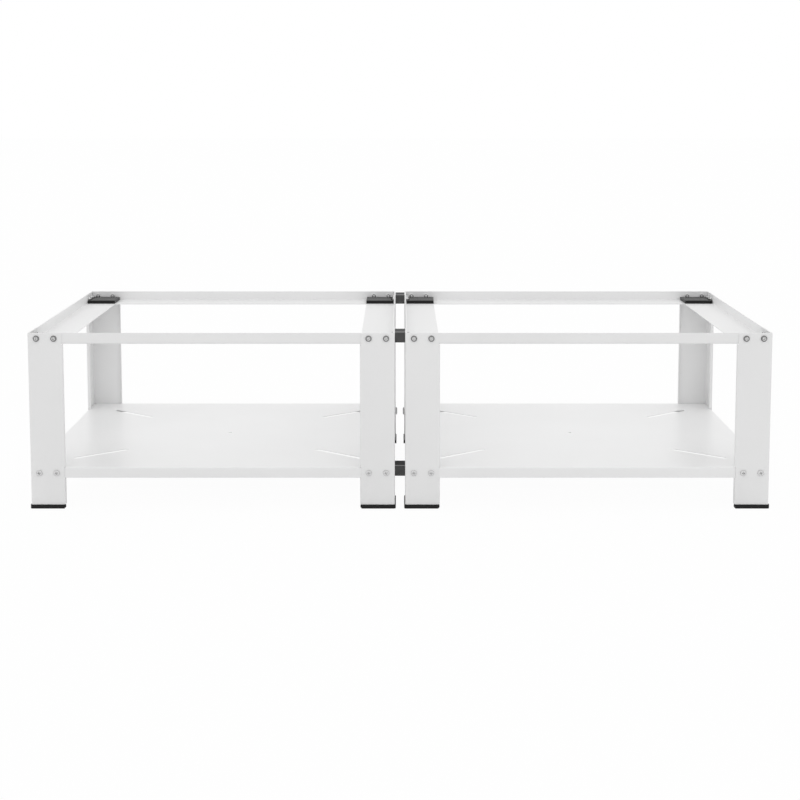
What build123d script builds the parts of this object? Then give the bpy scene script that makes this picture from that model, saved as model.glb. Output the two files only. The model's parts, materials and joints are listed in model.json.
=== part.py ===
from build123d import *
import os
from math import atan2, cos, degrees, pi, sin

# A free-standing stand for two laundry machines: two bolted frames of folded sheet steel, side by side.
# X runs across the stand, Y from front to back, Z up; the origin is on the floor under the middle.
# All sizes are in millimetres. A bend is given by its outer radius; the legs' folds are drawn sharp inside.

# The two frames, called bays
BAY_WIDTH = 631.0
BAY_DEPTH = 540.0
BAY_GAP = 18.0
STAND_HEIGHT = 308.0

# Legs: angles with a return lip on both free edges
LEG_SHEET = 1.5
LEG_FLANGE = 60.0
LEG_LIP = 6.0
LEG_BEND = 2.0
NOTCH_CLEARANCE = 1.0

# Top rails: angles with an upright web and a wide flange below it that carries the machine
RAIL_SHEET = 1.5
RAIL_WEB = 19.0
RAIL_FLANGE = 58.0
RAIL_BEND = 2.8
RAIL_END_CLEARANCE = 2.0
MITRE_CLEARANCE = 0.5

# Shelf: a tray folded down on all four sides, with slots that point at a hole in its middle
SHELF_SHEET = 1.0
SHELF_TOP = 72.0
SHELF_LIP = 18.0
SHELF_BEND = 2.0
SHELF_RELIEF = 4.0
SLOT_INSET_X = 60.0
SLOT_INSET_Y = 69.0
SLOT_LENGTH = 108.0
SLOT_WIDTH = 10.0
SLOT_CHAMFER = 3.0
CENTRE_HOLE = 7.0
CENTRE_HOLE_SIDES = 8

# Feet: moulded channels pushed over the bottom edge of the legs
FOOT_HEIGHT = 7.0
FOOT_BASE = 3.0
FOOT_WALL = 1.5
FOOT_CLEARANCE = 0.2
FOOT_TOE_CHAMFER = 2.5
FOOT_RIM_CHAMFER = 1.0

# Pads: rubber blocks in the corners of the rails, cut out around the nuts
PAD_SIZE = 55.0
PAD_THICKNESS = 6.5
PAD_CLEARANCE = 0.2
POCKET_CLEARANCE = 0.8

# Link blocks between the two bays
LINK_DEPTH = 35.0
LINK_HEIGHT = 19.0
LINK_CHAMFER = 1.0

# Screws and nuts, M5. They repeat too often to be round, so the heads have eight sides, and the hidden holes,
# shanks and bores have five
HEAD_SIDES = 8
HIDDEN_SIDES = 5
BOLT_SHANK = 4.9
BOLT_HOLE = 5.4
BOLT_STICKOUT = 2.0
HEAD_DIAMETER = 10.5
HEAD_HEIGHT = 3.2
NUT_SIDES = 6
NUT_WIDTH = 8.0
NUT_BORE = 5.0
NUT_HEIGHT = 4.0
FACE_BOLT_INSETS = (15.0, 45.0)
SIDE_BOLT_INSETS = (21.0, 45.0)

# Places worked out from the sizes above, measured from the middle of a bay
HALF_WIDTH = BAY_WIDTH / 2
HALF_DEPTH = BAY_DEPTH / 2
BAY_X = {"left": -(BAY_WIDTH + BAY_GAP) / 2, "right": (BAY_WIDTH + BAY_GAP) / 2}
CORNERS = {"front_left": (-1, -1), "front_right": (1, -1), "back_left": (-1, 1), "back_right": (1, 1)}
CORNER = Plane((-HALF_WIDTH, -HALF_DEPTH, 0))
LEG_BEND_START = LEG_FLANGE - LEG_BEND
RAIL_BOTTOM = STAND_HEIGHT - RAIL_WEB
PAD_BOTTOM = RAIL_BOTTOM + RAIL_SHEET
SHELF_BOTTOM = SHELF_TOP - SHELF_LIP
RAIL_LEVEL = STAND_HEIGHT - RAIL_WEB / 2
SHELF_LEVEL = SHELF_TOP - SHELF_LIP / 2
RAIL_SEAT = LEG_SHEET + RAIL_SHEET
SHELF_SEAT = LEG_SHEET + SHELF_SHEET
LINK_CENTRE = sum(SIDE_BOLT_INSETS) / len(SIDE_BOLT_INSETS)
BOLT_LENGTH = RAIL_SEAT + NUT_HEIGHT + BOLT_STICKOUT
LINK_BOLT_LENGTH = BAY_GAP + RAIL_SEAT + BOLT_LENGTH
DRILL_DEPTH = 2 * RAIL_SEAT

os.makedirs("parts", exist_ok=True)


def write(builder, name):
    builder.part.label = name
    export_step(builder.part, f"parts/{name}.step")


def write_copy(pattern, name, bay, side=-1, end=-1):
    """Writes a front-left pattern piece, mirrored to its side and end of a bay and moved to that bay."""
    placed = pattern.part
    if side > 0:
        placed = placed.mirror(Plane.YZ)
    if end > 0:
        placed = placed.mirror(Plane.XZ)
    with BuildPart() as piece:
        add(placed.moved(Location((BAY_X[bay], 0, 0))))
    write(piece, name)


def face_spots(level, end, bay_x=0.0):
    """Screw places on the front or back of a bay, on the legs' outer face and pointing out of it."""
    places = [bay_x + side * (HALF_WIDTH - inset) for side in (-1, 1) for inset in FACE_BOLT_INSETS]
    return [Plane((x, end * HALF_DEPTH, level), x_dir=(1, 0, 0), z_dir=(0, end, 0)) for x in places]


def side_spots(level, side, bay_x=0.0):
    """Screw places on the left or right side of a bay, on the legs' outer face and pointing out of it."""
    places = [end * (HALF_DEPTH - inset) for end in (-1, 1) for inset in SIDE_BOLT_INSETS]
    x = bay_x + side * HALF_WIDTH
    return [Plane((x, y, level), x_dir=(0, 1, 0), z_dir=(side, 0, 0)) for y in places]


def hole_sketch(spots):
    """The outline of a screw hole at each place."""
    with BuildSketch(*spots) as outlines:
        RegularPolygon(BOLT_HOLE / 2, HIDDEN_SIDES, major_radius=False)
    return outlines.sketch


def flange_sketch(length, grow):
    """Plan of a front-left leg's two flat flanges up to a length, grown by a clearance and wall."""
    inside = LEG_SHEET + grow
    reach = length + grow
    with BuildSketch(CORNER) as plan:
        with BuildLine():
            FilletPolyline((reach, -grow), (-grow, -grow), (-grow, reach), radius=LEG_BEND + grow)
            Polyline((-grow, reach), (inside, reach), (inside, inside), (reach, inside), (reach, -grow))
        make_face()
    return plan.sketch


# Leg: the lipped angle, with the lips cut away where the foot, the shelf and the rails pass
with BuildPart() as leg:
    inside = LEG_FLANGE - LEG_SHEET
    with BuildSketch(CORNER.offset(FOOT_BASE)):
        with BuildLine():
            FilletPolyline(
                (LEG_FLANGE, LEG_LIP), (LEG_FLANGE, 0), (0, 0), (0, LEG_FLANGE), (LEG_LIP, LEG_FLANGE),
                radius=LEG_BEND,
            )
            Polyline(
                (LEG_LIP, LEG_FLANGE), (LEG_LIP, inside), (LEG_SHEET, inside), (LEG_SHEET, LEG_SHEET),
                (inside, LEG_SHEET), (inside, LEG_LIP), (LEG_FLANGE, LEG_LIP),
            )
        make_face()
    extrude(amount=STAND_HEIGHT - FOOT_BASE)
    notches = [
        (FOOT_BASE, FOOT_HEIGHT + NOTCH_CLEARANCE),
        (SHELF_BOTTOM - NOTCH_CLEARANCE, SHELF_TOP + NOTCH_CLEARANCE),
        (RAIL_BOTTOM - NOTCH_CLEARANCE, STAND_HEIGHT),
    ]
    for bottom, top in notches:
        with BuildSketch(CORNER.offset(bottom)):
            Rectangle(LEG_FLANGE, LEG_FLANGE, align=Align.MIN)
            Rectangle(LEG_BEND_START, LEG_BEND_START, align=Align.MIN, mode=Mode.SUBTRACT)
        extrude(amount=top - bottom, mode=Mode.SUBTRACT)
    for level in (SHELF_LEVEL, RAIL_LEVEL):
        spots = face_spots(level, -1)[:2] + side_spots(level, -1)[:2]
        extrude(hole_sketch(spots), amount=-DRILL_DEPTH, mode=Mode.SUBTRACT)

# Foot: a channel with a base, following the two flanges of the leg, its two ends cut off at toe and rim
with BuildPart() as foot:
    extrude(flange_sketch(LEG_BEND_START, FOOT_CLEARANCE + FOOT_WALL), amount=FOOT_HEIGHT)
    groove = flange_sketch(LEG_BEND_START, FOOT_CLEARANCE).moved(Location((0, 0, FOOT_BASE)))
    extrude(groove, amount=FOOT_HEIGHT - FOOT_BASE, mode=Mode.SUBTRACT)
    for axis in (Axis.X, Axis.Y):
        end_edges = foot.faces().sort_by(axis)[-1].edges().sort_by(Axis.Z)
        chamfer(end_edges[0], FOOT_TOE_CHAMFER)
        end_edges = foot.faces().sort_by(axis)[-1].edges().sort_by(Axis.Z)
        chamfer(end_edges[-1], FOOT_RIM_CHAMFER)


def rail_pattern(half_length, outer_face, spots):
    """A front rail: the angle at its length, its flange mitred at both ends and its web drilled."""
    end = half_length - LEG_SHEET - RAIL_END_CLEARANCE
    mitre = half_length - LEG_SHEET - MITRE_CLEARANCE
    with BuildPart() as rail:
        with BuildSketch(Plane((0, outer_face, STAND_HEIGHT), x_dir=(0, 1, 0), z_dir=(1, 0, 0))):
            with BuildLine():
                FilletPolyline((0, 0), (0, -RAIL_WEB), (RAIL_FLANGE, -RAIL_WEB), radius=RAIL_BEND)
                Line((RAIL_FLANGE, -RAIL_WEB), (RAIL_FLANGE, RAIL_SHEET - RAIL_WEB))
                FilletPolyline(
                    (RAIL_FLANGE, RAIL_SHEET - RAIL_WEB), (RAIL_SHEET, RAIL_SHEET - RAIL_WEB),
                    (RAIL_SHEET, 0), radius=RAIL_BEND - RAIL_SHEET,
                )
                Line((RAIL_SHEET, 0), (0, 0))
            make_face()
        extrude(amount=end, both=True)
        with BuildSketch(Plane((0, outer_face, RAIL_BOTTOM))):
            with BuildLine():
                Polyline(
                    (-mitre, 0), (mitre, 0), (mitre - RAIL_FLANGE, RAIL_FLANGE),
                    (RAIL_FLANGE - mitre, RAIL_FLANGE), close=True,
                )
            make_face()
        extrude(amount=RAIL_WEB, mode=Mode.INTERSECT)
        extrude(hole_sketch(spots), amount=-DRILL_DEPTH, mode=Mode.SUBTRACT)
    return rail


front_rail = rail_pattern(HALF_WIDTH, -HALF_DEPTH + LEG_SHEET, face_spots(RAIL_LEVEL, -1))

# The side rail is made as a front rail of the bay's depth and turned to the left side
turned_spots = [
    Plane((end * (HALF_DEPTH - inset), -HALF_WIDTH, RAIL_LEVEL), x_dir=(1, 0, 0), z_dir=(0, -1, 0))
    for end in (-1, 1)
    for inset in SIDE_BOLT_INSETS
]
turned_rail = rail_pattern(HALF_DEPTH, -HALF_WIDTH + LEG_SHEET, turned_spots)
with BuildPart() as side_rail:
    add(turned_rail.part.rotate(Axis.Z, -90))

# Shelf: the tray, with open corners, four slots, the middle hole and the screw holes
with BuildPart() as shelf:
    with BuildSketch(Plane.XY.offset(SHELF_TOP)):
        Rectangle(BAY_WIDTH - 2 * LEG_SHEET, BAY_DEPTH - 2 * LEG_SHEET)
    extrude(amount=-SHELF_LIP)
    fillet(shelf.faces().sort_by(Axis.Z)[-1].edges(), SHELF_BEND)
    with BuildPart(mode=Mode.SUBTRACT) as hollow:
        with BuildSketch(Plane.XY.offset(SHELF_BOTTOM)):
            Rectangle(BAY_WIDTH - 2 * SHELF_SEAT, BAY_DEPTH - 2 * SHELF_SEAT)
        extrude(amount=SHELF_LIP - SHELF_SHEET)
        fillet(hollow.faces().sort_by(Axis.Z)[-1].edges(), SHELF_BEND - SHELF_SHEET)
    with BuildSketch(Plane.XY.offset(SHELF_TOP)):
        with GridLocations(BAY_WIDTH - 2 * LEG_SHEET, BAY_DEPTH - 2 * LEG_SHEET, 2, 2):
            Rectangle(2 * SHELF_RELIEF, 2 * SHELF_RELIEF)
    extrude(amount=-SHELF_LIP, mode=Mode.SUBTRACT)
    slot_start_x = SLOT_INSET_X - HALF_WIDTH
    slot_start_y = SLOT_INSET_Y - HALF_DEPTH
    slot_angle = atan2(-slot_start_y, -slot_start_x)
    slot_x = slot_start_x + SLOT_LENGTH / 2 * cos(slot_angle)
    slot_y = slot_start_y + SLOT_LENGTH / 2 * sin(slot_angle)
    with BuildSketch(Plane.XY.offset(SHELF_TOP)) as openings:
        with Locations((slot_x, slot_y)):
            Rectangle(SLOT_LENGTH, SLOT_WIDTH, rotation=degrees(slot_angle))
        chamfer(openings.vertices(), SLOT_CHAMFER)
        mirror(about=Plane.YZ)
        mirror(about=Plane.XZ)
        RegularPolygon(CENTRE_HOLE / 2, CENTRE_HOLE_SIDES)
    extrude(amount=-SHELF_SHEET, mode=Mode.SUBTRACT)
    for sign in (-1, 1):
        spots = face_spots(SHELF_LEVEL, sign) + side_spots(SHELF_LEVEL, sign)
        extrude(hole_sketch(spots), amount=-DRILL_DEPTH, mode=Mode.SUBTRACT)

# Pad: a block that fills the corner of the rails, with a pocket round each nut
with BuildPart() as pad:
    pad_start = LEG_SHEET + RAIL_BEND + PAD_CLEARANCE
    pocket_width = NUT_WIDTH / cos(pi / NUT_SIDES) + 2 * POCKET_CLEARANCE
    pocket_reach = 2 * (BOLT_LENGTH + POCKET_CLEARANCE)
    with BuildSketch(CORNER.offset(PAD_BOTTOM)):
        with Locations((pad_start, pad_start)):
            Rectangle(PAD_SIZE, PAD_SIZE, align=Align.MIN)
        with Locations(*[(inset, 0) for inset in FACE_BOLT_INSETS]):
            Rectangle(pocket_width, pocket_reach, mode=Mode.SUBTRACT)
        with Locations(*[(0, inset) for inset in SIDE_BOLT_INSETS]):
            Rectangle(pocket_reach, pocket_width, mode=Mode.SUBTRACT)
    extrude(amount=PAD_THICKNESS)

# The pieces of each bay, every one a node of its own
for bay in BAY_X:
    for corner, (side, end) in CORNERS.items():
        write_copy(leg, f"{bay}_leg_{corner}", bay, side, end)
        write_copy(foot, f"{bay}_foot_{corner}", bay, side, end)
        write_copy(pad, f"{bay}_pad_{corner}", bay, side, end)
    write_copy(front_rail, f"{bay}_rail_front", bay)
    write_copy(front_rail, f"{bay}_rail_back", bay, end=1)
    write_copy(side_rail, f"{bay}_rail_left", bay)
    write_copy(side_rail, f"{bay}_rail_right", bay, side=1)
    write_copy(shelf, f"{bay}_shelf", bay)

# Link blocks: front and back at the rails, and at the front of the shelves
link_places = {
    "link_top_front": (-1, RAIL_LEVEL, RAIL_SEAT),
    "link_top_back": (1, RAIL_LEVEL, RAIL_SEAT),
    "link_bottom_front": (-1, SHELF_LEVEL, SHELF_SEAT),
}
for name, (end, level, seat) in link_places.items():
    with BuildPart() as link:
        link_y = end * (HALF_DEPTH - LINK_CENTRE)
        with BuildSketch(Plane((0, link_y, level), x_dir=(0, 1, 0), z_dir=(1, 0, 0))):
            Rectangle(LINK_DEPTH, LINK_HEIGHT)
        extrude(amount=BAY_GAP / 2, both=True)
        chamfer(link.edges().filter_by(Axis.X), LINK_CHAMFER)
        places = [end * (HALF_DEPTH - inset) for inset in SIDE_BOLT_INSETS]
        spots = [Plane((BAY_GAP / 2, y, level), x_dir=(0, 1, 0), z_dir=(1, 0, 0)) for y in places]
        extrude(hole_sketch(spots), amount=-BAY_GAP, mode=Mode.SUBTRACT)
    write(link, name)


def bolt_pattern(length):
    """A pan-head screw along -Z, with the underside of its head at the origin."""
    with BuildPart() as bolt:
        with BuildSketch():
            RegularPolygon(HEAD_DIAMETER / 2, HEAD_SIDES, rotation=180 / HEAD_SIDES)
        extrude(amount=HEAD_HEIGHT)
        with BuildSketch():
            RegularPolygon(BOLT_SHANK / 2, HIDDEN_SIDES)
        extrude(amount=-length)
    return bolt


short_bolt = bolt_pattern(BOLT_LENGTH)
long_bolt = bolt_pattern(LINK_BOLT_LENGTH)

# Nut: its outer face is at the origin, and it lies along -Z like the screw that it is on
with BuildPart() as nut:
    with BuildSketch():
        RegularPolygon(NUT_WIDTH / 2, NUT_SIDES, major_radius=False)
        RegularPolygon(NUT_BORE / 2, HIDDEN_SIDES, major_radius=False, mode=Mode.SUBTRACT)
    extrude(amount=-NUT_HEIGHT)


def write_group(pattern, spots, name):
    """Writes equal fasteners, each a solid of its own, as one node."""
    with BuildPart() as group:
        with Locations(*spots):
            add(pattern.part)
    write(group, name)


def linked(spot, bay, level):
    """True where a link block joins the bays, so that a long screw passes instead of a short one."""
    toward_middle = 1 if bay == "left" else -1
    on_gap_side = spot.z_dir.X * toward_middle > 0.5
    at_front = spot.origin.Y < 0
    return on_gap_side and (at_front or level == RAIL_LEVEL)


for bay in BAY_X:
    for rank, level, seat in (("top", RAIL_LEVEL, RAIL_SEAT), ("shelf", SHELF_LEVEL, SHELF_SEAT)):
        spots = []
        for sign in (-1, 1):
            spots += face_spots(level, sign, BAY_X[bay])
            spots += [spot for spot in side_spots(level, sign, BAY_X[bay]) if not linked(spot, bay, level)]
        write_group(short_bolt, spots, f"{bay}_{rank}_bolts")
        write_group(nut, [spot.offset(-seat) for spot in spots], f"{bay}_{rank}_nuts")

# Link screws run from inside the left bay to their nuts inside the right bay
head_spots = []
nut_spots = []
for end, level, seat in link_places.values():
    for inset in SIDE_BOLT_INSETS:
        y = end * (HALF_DEPTH - inset)
        head_spots.append(Plane((-BAY_GAP / 2 - seat, y, level), x_dir=(0, 1, 0), z_dir=(-1, 0, 0)))
        nut_spots.append(Plane((BAY_GAP / 2 + seat, y, level), x_dir=(0, 1, 0), z_dir=(-1, 0, 0)))
write_group(long_bolt, head_spots, "link_bolts")
write_group(nut, nut_spots, "link_nuts")
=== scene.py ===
import json
import math

import bmesh
import bpy
from mathutils import Matrix, Vector


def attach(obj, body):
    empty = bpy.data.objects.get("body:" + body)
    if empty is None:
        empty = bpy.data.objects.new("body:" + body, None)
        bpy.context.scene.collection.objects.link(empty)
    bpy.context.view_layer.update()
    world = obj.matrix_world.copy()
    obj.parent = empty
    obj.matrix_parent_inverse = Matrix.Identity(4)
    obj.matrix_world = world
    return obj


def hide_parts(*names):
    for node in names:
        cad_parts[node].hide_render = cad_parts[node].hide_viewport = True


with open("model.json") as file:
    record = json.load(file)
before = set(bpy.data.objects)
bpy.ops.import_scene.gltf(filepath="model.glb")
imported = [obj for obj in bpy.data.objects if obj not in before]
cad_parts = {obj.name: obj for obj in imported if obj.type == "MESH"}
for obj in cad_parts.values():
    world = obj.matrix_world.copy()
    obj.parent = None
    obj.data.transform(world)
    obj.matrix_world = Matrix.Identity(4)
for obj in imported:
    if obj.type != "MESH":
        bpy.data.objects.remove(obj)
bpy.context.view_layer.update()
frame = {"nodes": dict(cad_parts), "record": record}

# Dressing for a stand of two bolted frames in white folded steel. The CAD sheet, pads, feet and link blocks
# stay and get their edges and finishes here; the plain CAD screws and nuts are replaced by detailed ones.
# Lengths in this file are in millimetres where a name or comment doesn't say otherwise.
MM = 0.001

# Edge rounding of the CAD pieces, by material slot
EDGE_ROUND = {"powder_coat": 0.35, "rubber_pad": 0.6, "foot_plastic": 0.4, "link_plastic": 0.3}
EDGE_SEGMENTS = 2
EDGE_ANGLE = math.radians(35)
WELD_GAP = 0.001
FLAT_ANGLE = math.radians(0.5)

# Patterns of the finishes: sizes and heights in millimetres, the rest as shares
PEEL_SIZE = 5.0
PEEL_HEIGHT = 0.02
PEEL_STRENGTH = 0.5
CLOUD_SIZE = 180.0
COAT_GLOSS_SPREAD = 0.03
BLOOM_SIZE = 22.0
GRAIN_STRENGTH = 0.6
MOULD_GLOSS_SPREAD = 0.06
CHAMFER_FACING = math.sqrt(0.5)
CHAMFER_SPREAD = 0.2
PATCH_SIZE = 2.5
ZINC_ROUGHNESS = (0.24, 0.40)
TONE_STOPS = (0.3, 0.7)
BLOOM_STOPS = (0.35, 0.7)

# M5 pan-head screw and nut
HEAD_RADIUS = 5.25
HEAD_HEIGHT = 3.2
HEAD_WALL = 1.0
HEAD_FLAT = 1.5
HEAD_EDGE = 0.25
HEAD_ONLY_RADIUS = 4.0
DOME_STEPS = 7
THREAD_RADIUS = 2.45
THREAD_PITCH = 0.8
THREAD_DEPTH = 0.4
THREAD_SHOWN = 4.0
THREAD_ROWS = 4
END_CHAMFER = 0.5
RECESS_REACH = (2.9, 1.2)
RECESS_WIDTH = (0.75, 0.5)
RECESS_DEPTH = 2.0
# Past this radius the top of a screw head gets the second material, a dark painted reflection at the top of
# the stand
PAINTED_RIM_RADIUS = 3.0
NUT_WIDTH = 8.0
NUT_HEIGHT = 4.0
NUT_BORE_RADIUS = 2.15
NUT_RIM = NUT_WIDTH / 2 * 0.97
NUT_RIM_SLOPE = math.radians(30)
NUT_SINK = 0.35
NUT_SINK_DEPTH = 0.6
NUT_END_FACING = 0.9
CUT_OVERSHOOT = 0.1
RECESS_OVERSHOOT = 0.3
BARREL_CLEARANCE = 0.01
TURN_STEPS = 32
GOLDEN_ANGLE = math.radians(137.508)

# Camera, fitted to the edges of the photograph: its place and reach in metres
CAMERA_PLACE = (0.0, -2.8152, 0.7224)
CAMERA_PITCH = math.radians(6.0)
CAMERA_LENS = 67.50
CAMERA_SHIFT_Y = -0.1899
CAMERA_SENSOR = 36.0
CAMERA_REACH = 100.0

# Studio, its floor in metres
FLOOR_SIZE = 40.0
FLOOR_COLOUR = "#E8E8E8"
FLOOR_SHADE = 0.03
WORLD_HORIZON = 0.95
WORLD_ZENITH = 0.99


def linear(code):
    """An sRGB hex colour as the linear RGBA that shaders take."""
    channels = [int(code[i:i + 2], 16) / 255 for i in (1, 3, 5)]
    return tuple(c / 12.92 if c <= 0.04045 else ((c + 0.055) / 1.055) ** 2.4 for c in channels) + (1.0,)


def add(tree, kind, settings=None, links=None):
    """Adds a shader node, gives its properties and inputs their values, and links its inputs."""
    node = tree.nodes.new(kind)
    for name, value in (settings or {}).items():
        if isinstance(name, int) or name in node.inputs:
            node.inputs[name].default_value = value
        else:
            setattr(node, name, value)
    for name, socket in (links or {}).items():
        tree.links.new(socket, node.inputs[name])
    return node


def new_material(name, values):
    """A material with one Principled shader whose uniform values are set on its sockets."""
    material = bpy.data.materials.new(name)
    material.use_nodes = True
    tree = material.node_tree
    tree.nodes.clear()
    shader = add(tree, "ShaderNodeBsdfPrincipled", values)
    add(tree, "ShaderNodeOutputMaterial", links={"Surface": shader.outputs["BSDF"]})
    place = add(tree, "ShaderNodeTexCoord").outputs["Object"]
    return material, tree, shader, place


def noise(size, detail=2.0, rough=0.5):
    """Settings of a noise whose spots are about size millimetres apart."""
    return {"Scale": 1 / (size * MM), "Detail": detail, "Roughness": rough}


def white_powder_coat(name, dark, pale, gloss):
    """Polyester powder, sprayed on and baked: white, with a faint orange peel and cloudy gloss."""
    material, tree, shader, place = new_material(name, {"IOR": 1.5})
    # Orange peel is about 2 mm from wave to wave; it is drawn coarser, and is still too faint to see from
    # where the photograph was taken
    peel = add(tree, "ShaderNodeTexNoise", noise(PEEL_SIZE, 1.0), {"Vector": place})
    bump = add(tree, "ShaderNodeBump", {"Strength": PEEL_STRENGTH, "Distance": PEEL_HEIGHT * MM},
               {"Height": peel.outputs["Fac"]})
    cloud = add(tree, "ShaderNodeTexNoise", noise(CLOUD_SIZE, 2.0), {"Vector": place})
    tone = add(tree, "ShaderNodeValToRGB", links={"Fac": cloud.outputs["Fac"]})
    for stop, place_on_ramp, shade in zip(tone.color_ramp.elements, TONE_STOPS, (dark, pale)):
        stop.position = place_on_ramp
        stop.color = linear(shade)
    sheen = add(tree, "ShaderNodeMapRange",
                {"To Min": gloss - COAT_GLOSS_SPREAD, "To Max": gloss + COAT_GLOSS_SPREAD},
                {"Value": cloud.outputs["Fac"]})
    tree.links.new(tone.outputs["Color"], shader.inputs["Base Color"])
    tree.links.new(sheen.outputs["Result"], shader.inputs["Roughness"])
    tree.links.new(bump.outputs["Normal"], shader.inputs["Normal"])
    return material


def moulded(name, dark, pale, grain, grain_height, gloss, values, chamfer_highlight=None):
    """Dark moulded piece: an eroded mould gives it a fine grain, and handling leaves it slightly uneven.

    A painted highlight colour goes on chamfers, which face up at a slant, where an upper edge catches the
    light.
    """
    material, tree, shader, place = new_material(name, values)
    bloom = add(tree, "ShaderNodeTexNoise", noise(BLOOM_SIZE, 4.0, 0.6), {"Vector": place})
    tone = add(tree, "ShaderNodeValToRGB", links={"Fac": bloom.outputs["Fac"]})
    for stop, place_on_ramp, shade in zip(tone.color_ramp.elements, BLOOM_STOPS, (dark, pale)):
        stop.position = place_on_ramp
        stop.color = linear(shade)
    pits = add(tree, "ShaderNodeTexNoise", noise(grain, 2.0), {"Vector": place})
    bump = add(tree, "ShaderNodeBump", {"Strength": GRAIN_STRENGTH, "Distance": grain_height * MM},
               {"Height": pits.outputs["Fac"]})
    sheen = add(tree, "ShaderNodeMapRange",
                {"To Min": gloss - MOULD_GLOSS_SPREAD, "To Max": gloss + MOULD_GLOSS_SPREAD},
                {"Value": bloom.outputs["Fac"]})
    colour = tone.outputs["Color"]
    # Painted highlight: faces that slant up like a chamfer are drawn in the paler colour
    if chamfer_highlight is not None:
        normal = add(tree, "ShaderNodeTexCoord").outputs["Normal"]
        facing = add(tree, "ShaderNodeSeparateXYZ", links={"Vector": normal})
        slant = add(tree, "ShaderNodeMath",
                    {"operation": "COMPARE", 1: CHAMFER_FACING, 2: CHAMFER_SPREAD},
                    {0: facing.outputs["Z"]})
        painted_highlight = add(tree, "ShaderNodeMixRGB", {"Color2": linear(chamfer_highlight)},
                   {"Fac": slant.outputs[0], "Color1": colour})
        colour = painted_highlight.outputs["Color"]
    tree.links.new(colour, shader.inputs["Base Color"])
    tree.links.new(sheen.outputs["Result"], shader.inputs["Roughness"])
    tree.links.new(bump.outputs["Normal"], shader.inputs["Normal"])
    return material


def zinc_plate(name, pale, dark, edge_tint):
    """Zinc plated steel with a clear passivation: bright metal, mottled in patches of a few millimetres."""
    edge = linear(edge_tint)
    material, tree, shader, place = new_material(name, {"Metallic": 1.0, "Specular Tint": edge})
    patches = add(tree, "ShaderNodeTexNoise", noise(PATCH_SIZE, 3.0), {"Vector": place})
    tone = add(tree, "ShaderNodeValToRGB", links={"Fac": patches.outputs["Fac"]})
    for stop, place_on_ramp, shade in zip(tone.color_ramp.elements, TONE_STOPS, (dark, pale)):
        stop.position = place_on_ramp
        stop.color = linear(shade)
    polish = add(tree, "ShaderNodeMapRange", {"To Min": ZINC_ROUGHNESS[0], "To Max": ZINC_ROUGHNESS[1]},
                 {"Value": patches.outputs["Fac"]})
    tree.links.new(tone.outputs["Color"], shader.inputs["Base Color"])
    tree.links.new(polish.outputs["Result"], shader.inputs["Roughness"])
    return material


FINISHES = {
    "powder_coat": white_powder_coat("white_powder_coat", "#ECECEC", "#EFEFEF", 0.45),
    # Nitrile rubber, moulded: dull black, with a pale bloom that shows where it is seen at a flat angle
    "rubber_pad": moulded("black_nitrile_rubber", "#0E0E0E", "#181818", 1.6, 0.05, 0.62, {
        "IOR": 1.5, "Specular IOR Level": 0.3, "Sheen Weight": 0.2, "Sheen Roughness": 0.4}),
    # Polypropylene, moulded: deep black with a low gloss
    "foot_plastic": moulded("black_polypropylene", "#0C0C0C", "#141414", 1.2, 0.03, 0.45, {
        "IOR": 1.49, "Specular IOR Level": 0.25}),
    # Glass-filled nylon, moulded: dry charcoal, because the fibres at its surface scatter light; its
    # up-facing chamfers get a pale painted highlight
    "link_plastic": moulded("charcoal_nylon", "#525252", "#5E5E5E", 1.2, 0.03, 0.7, {
        "IOR": 1.53, "Specular IOR Level": 0.03}, "#A6A6A6"),
}
# The shelf's coat is a paler white than the other pieces' as painted light, for the brighter light on its
# top; on the level shelf the powder also flowed out smoother while it was baked, so it mirrors the back legs
SHELF_COAT_PAINTED_LIGHT = white_powder_coat("smooth_white_powder_coat_painted_light", "#F0F0F0", "#F3F3F3", 0.31)
# At the top of the stand the screws and nuts carry painted reflections: the middle of each screw head and the
# flats of each nut are a pale painted highlight, and the head rims and nut end faces are dark painted shade,
# darkened further by their dark edge tint; the other screws and nuts are bright all over
ZINC_PAINTED_HIGHLIGHT = zinc_plate("zinc_plated_steel_painted_highlight", "#E4E4E4", "#D4D4D4", "#A0A0A0")
ZINC_PAINTED_DARK_RIM = zinc_plate("zinc_plated_steel_painted_dark_rim", "#8E8E8E", "#7A7A7A", "#484848")
ZINC_PAINTED_DARK_END = zinc_plate("zinc_plated_steel_painted_dark_end", "#6A6A6A", "#545454", "#404040")
BRIGHT_ZINC = zinc_plate("bright_zinc_plated_steel", "#DEDEDE", "#CECECE", "#A0A0A0")


def dress(piece, slot, finish):
    """Gives a CAD piece its finish and rounds its edges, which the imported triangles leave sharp."""
    if not piece.material_slots:
        piece.data.materials.append(None)
    for holder in piece.material_slots:
        holder.material = finish
    weld = piece.modifiers.new("weld", "WELD")
    weld.merge_threshold = WELD_GAP * MM
    flat = piece.modifiers.new("flat", "DECIMATE")
    flat.decimate_type = "DISSOLVE"
    flat.angle_limit = FLAT_ANGLE
    edge = piece.modifiers.new("edge", "BEVEL")
    edge.width = EDGE_ROUND[slot] * MM
    edge.segments = EDGE_SEGMENTS
    edge.limit_method = "ANGLE"
    edge.angle_limit = EDGE_ANGLE
    piece.modifiers.new("normals", "WEIGHTED_NORMAL")


SLOTS = {part["node"]: part["material_slot"] for part in frame["record"]["subparts"]}
for node_name, cad_piece in frame["nodes"].items():
    slot_name = SLOTS[node_name]
    if slot_name in FINISHES:
        dress(cad_piece, slot_name, SHELF_COAT_PAINTED_LIGHT if node_name.endswith("_shelf") else FINISHES[slot_name])


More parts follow.
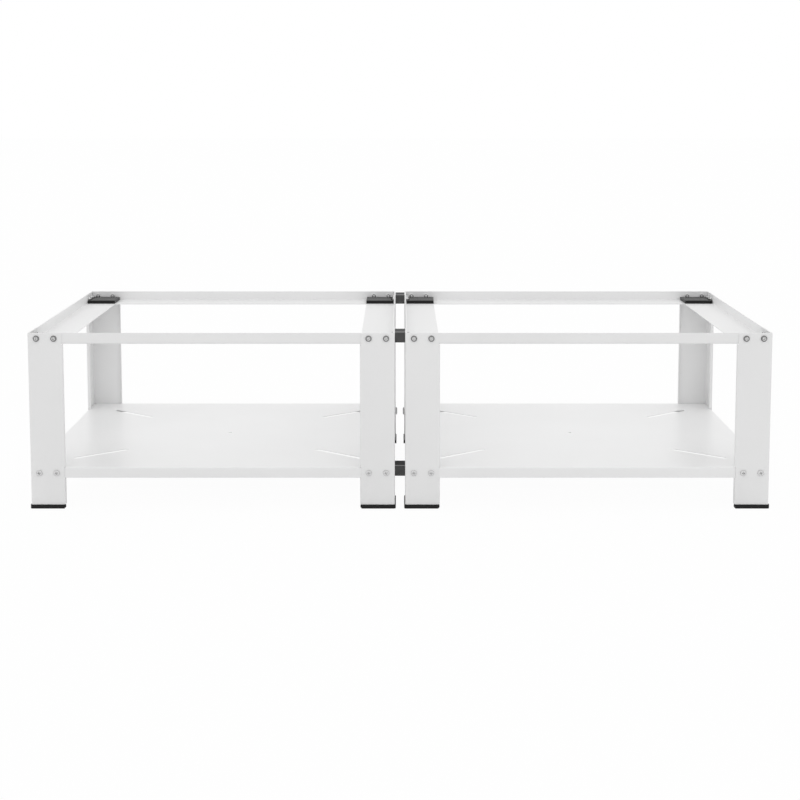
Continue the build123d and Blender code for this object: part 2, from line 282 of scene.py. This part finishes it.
def turned(profile, thread_top=None):
    """A mesh turned about Z from (radius, height) points; below thread_top a screw thread is cut into it."""
    mesh = bmesh.new()
    rings = []
    for radius, height in profile:
        if radius == 0:
            rings.append([mesh.verts.new((0, 0, height))])
            continue
        ring = []
        for step in range(TURN_STEPS):
            turn = step / TURN_STEPS
            cut = 0.0
            if thread_top is not None and height < thread_top:
                cut = THREAD_DEPTH * abs(2 * ((height / THREAD_PITCH - turn) % 1) - 1)
            angle = 2 * math.pi * turn
            reach = radius - cut
            ring.append(mesh.verts.new((reach * math.cos(angle), reach * math.sin(angle), height)))
        rings.append(ring)
    for lower, upper in zip(rings, rings[1:]):
        for step in range(TURN_STEPS):
            corners = [lower[step % len(lower)], lower[(step + 1) % len(lower)],
                       upper[(step + 1) % len(upper)], upper[step % len(upper)]]
            mesh.faces.new(list(dict.fromkeys(corners)))
    bmesh.ops.recalc_face_normals(mesh, faces=mesh.faces)
    made = bpy.data.meshes.new("turned")
    mesh.to_mesh(made)
    mesh.free()
    made.transform(Matrix.Scale(MM, 4))
    return made


def block(corners):
    """A mesh that closes round a set of corner points."""
    mesh = bmesh.new()
    for corner in corners:
        mesh.verts.new(corner)
    bmesh.ops.convex_hull(mesh, input=mesh.verts)
    made = bpy.data.meshes.new("block")
    mesh.to_mesh(made)
    mesh.free()
    made.transform(Matrix.Scale(MM, 4))
    return made


def cut_with(mesh, tools, operation):
    """The mesh after each tool mesh has been cut away from it, or kept in common with it."""
    body = bpy.data.objects.new("body", mesh)
    helpers = [bpy.data.objects.new("tool", tool) for tool in tools]
    for made in [body, *helpers]:
        bpy.context.scene.collection.objects.link(made)
    for helper in helpers:
        step = body.modifiers.new("cut", "BOOLEAN")
        step.operation = operation
        step.object = helper
        step.solver = "EXACT"
    graph = bpy.context.evaluated_depsgraph_get()
    result = bpy.data.meshes.new_from_object(body.evaluated_get(graph))
    for made in [body, *helpers]:
        bpy.data.objects.remove(made)
    return result


def screw_mesh(length):
    """A pan-head screw along -Z with its underside at the origin: cross recess above, thread at its end."""
    tip = [(0, -length), (THREAD_RADIUS - END_CHAMFER, -length)]
    rows = round(THREAD_SHOWN / THREAD_PITCH * THREAD_ROWS)
    thread_top = THREAD_SHOWN - length
    thread = [(THREAD_RADIUS, -length + END_CHAMFER + (THREAD_SHOWN - END_CHAMFER) * row / rows)
              for row in range(rows + 1)]
    head = [
        (THREAD_RADIUS, 0.0), (HEAD_RADIUS - HEAD_EDGE, 0.0),
        (HEAD_RADIUS, HEAD_EDGE), (HEAD_RADIUS, HEAD_WALL),
    ]
    for step in range(1, DOME_STEPS + 1):
        angle = math.pi / 2 * step / DOME_STEPS
        radius = HEAD_FLAT + (HEAD_RADIUS - HEAD_FLAT) * math.cos(angle)
        head.append((radius, HEAD_WALL + (HEAD_HEIGHT - HEAD_WALL) * math.sin(angle)))
    head.append((0, HEAD_HEIGHT))
    plain = turned(tip + thread + head, thread_top)
    arms = []
    for across in (False, True):
        corners = []
        heights = (HEAD_HEIGHT + RECESS_OVERSHOOT, HEAD_HEIGHT - RECESS_DEPTH)
        for reach, width, height in zip(RECESS_REACH, RECESS_WIDTH, heights):
            for x, y in ((-reach, -width), (reach, -width), (reach, width), (-reach, width)):
                corners.append((y, x, height) if across else (x, y, height))
        arms.append(block(corners))
    screw = cut_with(plain, arms, "DIFFERENCE")
    for face in screw.polygons:
        # The outer ring of the head top gets the second material: dark painted reflection on the screws at
        # the top of the stand
        face.material_index = int(face.center.z > 0 and face.center.xy.length > PAINTED_RIM_RADIUS * MM)
    return screw


def nut_mesh():
    """A hexagon nut about the origin, its corners turned off at both faces and its bore countersunk."""
    corner = NUT_WIDTH / 2 / math.cos(math.pi / 6)
    half = NUT_HEIGHT / 2
    flank = (corner - NUT_RIM) * math.tan(NUT_RIM_SLOPE)
    angles = [math.pi / 3 * k for k in range(6)]
    prism = block([(corner * math.cos(a), corner * math.sin(a), z) for a in angles for z in (-half, half)])
    girth = corner + BARREL_CLEARANCE
    barrel = turned([
        (0, -half), (NUT_RIM, -half), (girth, flank - half),
        (girth, half - flank), (NUT_RIM, half), (0, half),
    ])
    sunk = THREAD_RADIUS + NUT_SINK
    past = half + CUT_OVERSHOOT
    bore = turned([
        (0, -past), (sunk, -past), (sunk, -half), (NUT_BORE_RADIUS, NUT_SINK_DEPTH - half),
        (NUT_BORE_RADIUS, half - NUT_SINK_DEPTH), (sunk, half), (sunk, past), (0, past),
    ])
    nut = cut_with(cut_with(prism, [barrel], "INTERSECT"), [bore], "DIFFERENCE")
    for face in nut.polygons:
        # The end faces get the second material: dark painted shade on the nuts at the top of the stand
        face.material_index = int(abs(face.normal.z) > NUT_END_FACING)
    return nut


def solids_of(node_name):
    """The corner points of each separate solid of a CAD node, sorted by place."""
    mesh = bmesh.new()
    mesh.from_mesh(frame["nodes"][node_name].data)
    bmesh.ops.remove_doubles(mesh, verts=mesh.verts, dist=WELD_GAP * MM)
    mesh.verts.ensure_lookup_table()
    seen = set()
    groups = []
    for start in mesh.verts:
        if start in seen:
            continue
        seen.add(start)
        group = [start]
        for vert in group:
            for edge in vert.link_edges:
                other = edge.other_vert(vert)
                if other not in seen:
                    seen.add(other)
                    group.append(other)
        groups.append([vert.co.copy() for vert in group])
    mesh.free()
    groups.sort(key=lambda points: tuple(round(value, 4) for value in sum(points, Vector()) / len(points)))
    return groups


def spans(points):
    """The middle of a solid's box and its three sizes."""
    low = Vector([min(point[i] for point in points) for i in range(3)])
    high = Vector([max(point[i] for point in points) for i in range(3)])
    return (low + high) / 2, high - low


def unit(index):
    """The unit vector along X, Y or Z, by its number."""
    return Vector([1.0 if i == index else 0.0 for i in range(3)])


def frame_at(origin, x_axis, z_axis):
    """The placing of a piece by its origin and two of its axes."""
    y_axis = z_axis.cross(x_axis)
    return Matrix.Translation(origin) @ Matrix((x_axis, y_axis, z_axis)).transposed().to_4x4()


def screw_places(node_name):
    """Where the CAD screws of a group sit, underside of the head first, and how long their shanks are."""
    places = []
    for count, points in enumerate(solids_of(node_name)):
        middle, size = spans(points)
        lengthwise = max(range(3), key=lambda i: size[i])
        outward = unit(lengthwise)
        reaches = [(p - middle - outward * (p - middle).dot(outward)).length for p in points]
        rim = [p for p, reach in zip(points, reaches) if reach > HEAD_ONLY_RADIUS * MM]
        if sum((p - middle).dot(outward) for p in rim) < 0:
            outward = -outward
        seat = min((p - middle).dot(outward) for p in rim)
        sideways = unit((lengthwise + 1) % 3)
        turn = Matrix.Rotation(GOLDEN_ANGLE * count, 4, "Z")
        places.append(frame_at(middle + outward * seat, sideways, outward) @ turn)
        length = size[lengthwise] / MM - HEAD_HEIGHT
    return places, length


def nut_places(node_name):
    """Where the CAD nuts of a group sit, with their corners where the CAD nuts have them."""
    places = []
    for points in solids_of(node_name):
        middle, size = spans(points)
        order = sorted(range(3), key=lambda i: size[i])
        places.append(frame_at(middle, unit(order[2]), unit(order[0])))
    return places


def fit_group(node_name, mesh, places, finishes):
    """Puts a copy of a fastener at every place, as one piece that stands for the CAD group."""
    joined = bmesh.new()
    for place in places:
        copy = mesh.copy()
        copy.transform(place)
        joined.from_mesh(copy)
        bpy.data.meshes.remove(copy)
    made = bpy.data.meshes.new(node_name + "_detail")
    joined.to_mesh(made)
    joined.free()
    made.shade_smooth()
    made.set_sharp_from_angle(angle=EDGE_ANGLE)
    for finish in finishes:
        made.materials.append(finish)
    piece = bpy.data.objects.new(node_name + "_detail", made)
    bpy.context.scene.collection.objects.link(piece)
    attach(piece, "root")
    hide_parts(node_name)


plain_nut = nut_mesh()
for group_name in sorted(frame["nodes"]):
    at_top = "_top_" in group_name
    if SLOTS[group_name] == "zinc_screw":
        seats, shank = screw_places(group_name)
        # Only the fasteners at the top of the stand get the painted highlight and the dark painted
        # reflections
        finishes = (ZINC_PAINTED_HIGHLIGHT, ZINC_PAINTED_DARK_RIM) if at_top else (BRIGHT_ZINC, BRIGHT_ZINC)
        fit_group(group_name, screw_mesh(shank), seats, finishes)
    if SLOTS[group_name] == "zinc_nut":
        finishes = (ZINC_PAINTED_HIGHLIGHT, ZINC_PAINTED_DARK_END) if at_top else (BRIGHT_ZINC, BRIGHT_ZINC)
        fit_group(group_name, plain_nut, nut_places(group_name), finishes)


def light_rays(tree):
    """1 for what the eye, a mirror or glass sees, 0 for light that falls on the object."""
    path = add(tree, "ShaderNodeLightPath")
    seen = add(tree, "ShaderNodeMath", {"operation": "MAXIMUM"},
               {0: path.outputs["Is Camera Ray"], 1: path.outputs["Is Glossy Ray"]})
    seen = add(tree, "ShaderNodeMath", {"operation": "MAXIMUM"},
               {0: seen.outputs[0], 1: path.outputs["Is Transmission Ray"]})
    return seen.outputs[0]


def lay_floor():
    """A plain pale floor that stays white to the eye and keeps a faint shadow under the stand."""
    material = bpy.data.materials.new("white_studio_floor")
    material.use_nodes = True
    tree = material.node_tree
    tree.nodes.clear()
    matt = add(tree, "ShaderNodeBsdfDiffuse", {"Color": linear(FLOOR_COLOUR)})
    white = add(tree, "ShaderNodeEmission", {"Strength": 1.0})
    shaded = add(tree, "ShaderNodeMixShader", {"Fac": FLOOR_SHADE}, {1: white.outputs[0], 2: matt.outputs[0]})
    floor_look = add(tree, "ShaderNodeMixShader",
                     links={"Fac": light_rays(tree), 1: matt.outputs[0], 2: shaded.outputs[0]})
    add(tree, "ShaderNodeOutputMaterial", links={"Surface": floor_look.outputs[0]})
    half = FLOOR_SIZE / 2
    mesh = bpy.data.meshes.new("floor")
    corners = [(-half, -half, 0), (half, -half, 0), (half, half, 0), (-half, half, 0)]
    mesh.from_pydata(corners, [], [(0, 1, 2, 3)])
    mesh.materials.append(material)
    floor = bpy.data.objects.new("floor", mesh)
    bpy.context.scene.collection.objects.link(floor)


def light_studio():
    """Even white surroundings, as in a light tent, only slightly brighter overhead."""
    world = bpy.data.worlds.new("studio")
    bpy.context.scene.world = world
    world.use_nodes = True
    tree = world.node_tree
    tree.nodes.clear()
    way = add(tree, "ShaderNodeTexCoord").outputs["Generated"]
    parts = add(tree, "ShaderNodeSeparateXYZ", links={"Vector": way})
    level = add(tree, "ShaderNodeMapRange", {"To Min": WORLD_HORIZON, "To Max": WORLD_ZENITH},
                {"Value": parts.outputs["Z"]})
    soft = add(tree, "ShaderNodeBackground", links={"Strength": level.outputs["Result"]})
    white = add(tree, "ShaderNodeBackground", {"Strength": 1.0})
    both = add(tree, "ShaderNodeMixShader",
               links={"Fac": light_rays(tree), 1: soft.outputs[0], 2: white.outputs[0]})
    for background in (soft, white):
        background.inputs["Color"].default_value = (1, 1, 1, 1)
    add(tree, "ShaderNodeOutputWorld", links={"Surface": both.outputs[0]})


def set_camera():
    """The camera that the photograph was taken with, as far as its edges tell."""
    camera = bpy.data.cameras.new("photo_view")
    camera.lens = CAMERA_LENS
    camera.sensor_width = CAMERA_SENSOR
    camera.shift_y = CAMERA_SHIFT_Y
    camera.clip_end = CAMERA_REACH
    holder = bpy.data.objects.new("photo_view", camera)
    holder.location = CAMERA_PLACE
    holder.rotation_euler = (math.pi / 2 - CAMERA_PITCH, 0.0, 0.0)
    bpy.context.scene.collection.objects.link(holder)
    bpy.context.scene.camera = holder


lay_floor()
light_studio()
set_camera()
bpy.context.scene.view_settings.view_transform = "Standard"
